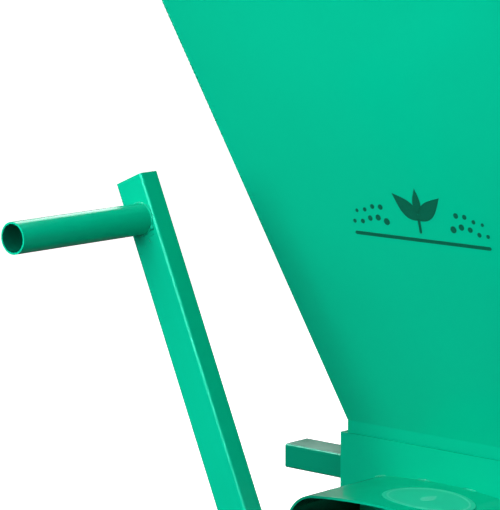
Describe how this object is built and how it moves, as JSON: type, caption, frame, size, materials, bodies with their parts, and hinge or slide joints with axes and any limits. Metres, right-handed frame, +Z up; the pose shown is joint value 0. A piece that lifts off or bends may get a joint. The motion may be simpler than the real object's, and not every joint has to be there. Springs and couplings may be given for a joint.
{
  "type": "garden spreader",
  "caption": "Hand-cranked garden spreader: flared sheet-metal hopper on a wheeled stand, sliding flow gate, paddle rotor under an arched hood and a discharge chute.",
  "frame": {"origin": "on the floor, under the middle of the machine's overall box", "axes": "+X to the right seen from the crank side, +Y from the crank towards the push handle, +Z up"},
  "size_m": [0.5356, 0.8134, 1.048],
  "materials": {
    "green_paint": "gloss",
    "zinc_steel": "satin",
    "bare_steel": "satin",
    "cast_iron": "matte",
    "bronze": "satin",
    "rubber": "matte",
    "tyre_rubber": "matte",
    "rim_paint": "satin"
  },
  "bodies": {
    "stand": {"arched_hood": "green_paint", "axle": "zinc_steel", "axle_cotters": "zinc_steel", "axle_washers": "zinc_steel", "bearing_bolts": "zinc_steel", "bearing_bridge": "green_paint", "body_bolts": "zinc_steel", "body_front_wall": "green_paint", "body_left_wall": "green_paint", "body_rear_wall": "green_paint", "body_right_wall": "green_paint", "chute_floor": "green_paint", "chute_left_cheek": "green_paint", "chute_right_cheek": "green_paint", "front_bearing_bush": "bronze", "front_bearing_housing": "cast_iron", "front_crossbar": "green_paint", "gate_front_guide": "zinc_steel", "gate_rear_guide": "zinc_steel", "handle_crossbar": "green_paint", "handle_sleeve": "rubber", "hopper_front_panel": "green_paint", "hopper_left_panel": "green_paint", "hopper_rear_panel": "green_paint", "hopper_right_panel": "green_paint", "hopper_seal": "rubber", "left_foot": "green_paint", "left_front_leg": "green_paint", "left_handle_tube": "green_paint", "left_rear_leg": "green_paint", "left_side_rail": "green_paint", "left_slope_plate": "green_paint", "rear_bearing_bush": "bronze", "rear_bearing_housing": "cast_iron", "rear_crossbar": "green_paint", "right_foot": "green_paint", "right_front_leg": "green_paint", "right_handle_tube": "green_paint", "right_rear_leg": "green_paint", "right_side_rail": "green_paint", "right_slope_plate": "green_paint", "trough": "green_paint"},
    "rotor": {"rotor_shaft": "bare_steel", "rotor_tube": "bare_steel", "rotor_paddles": "bare_steel", "shaft_collar": "zinc_steel", "crank_hub": "green_paint", "hub_screw": "zinc_steel", "crank_arm": "green_paint", "crank_grip": "green_paint"},
    "gate": {"gate_plate": "zinc_steel", "gate_pull_bar": "green_paint"},
    "left_wheel": {"left_tyre": "tyre_rubber", "left_rim": "rim_paint", "left_wheel_hub": "rim_paint", "left_hub_bush": "bronze"},
    "right_wheel": {"right_tyre": "tyre_rubber", "right_rim": "rim_paint", "right_wheel_hub": "rim_paint", "right_hub_bush": "bronze"}
  },
  "joints": [
    {"name": "crank_turn", "type": "hinge", "parent": "stand", "child": "rotor", "pos_m": [0, -0.05475, 0.5], "axis": [0, 1, 0], "continuous": true},
    {"name": "gate_slide", "type": "slide", "parent": "stand", "child": "gate", "axis": [-1, 0, 0], "range_m": [0, 0.17]},
    {"name": "left_wheel_roll", "type": "hinge", "parent": "stand", "child": "left_wheel", "pos_m": [-0.218, 0.13525, 0.13], "axis": [1, 0, 0], "continuous": true},
    {"name": "right_wheel_roll", "type": "hinge", "parent": "stand", "child": "right_wheel", "pos_m": [0.218, 0.13525, 0.13], "axis": [1, 0, 0], "continuous": true}
  ]
}
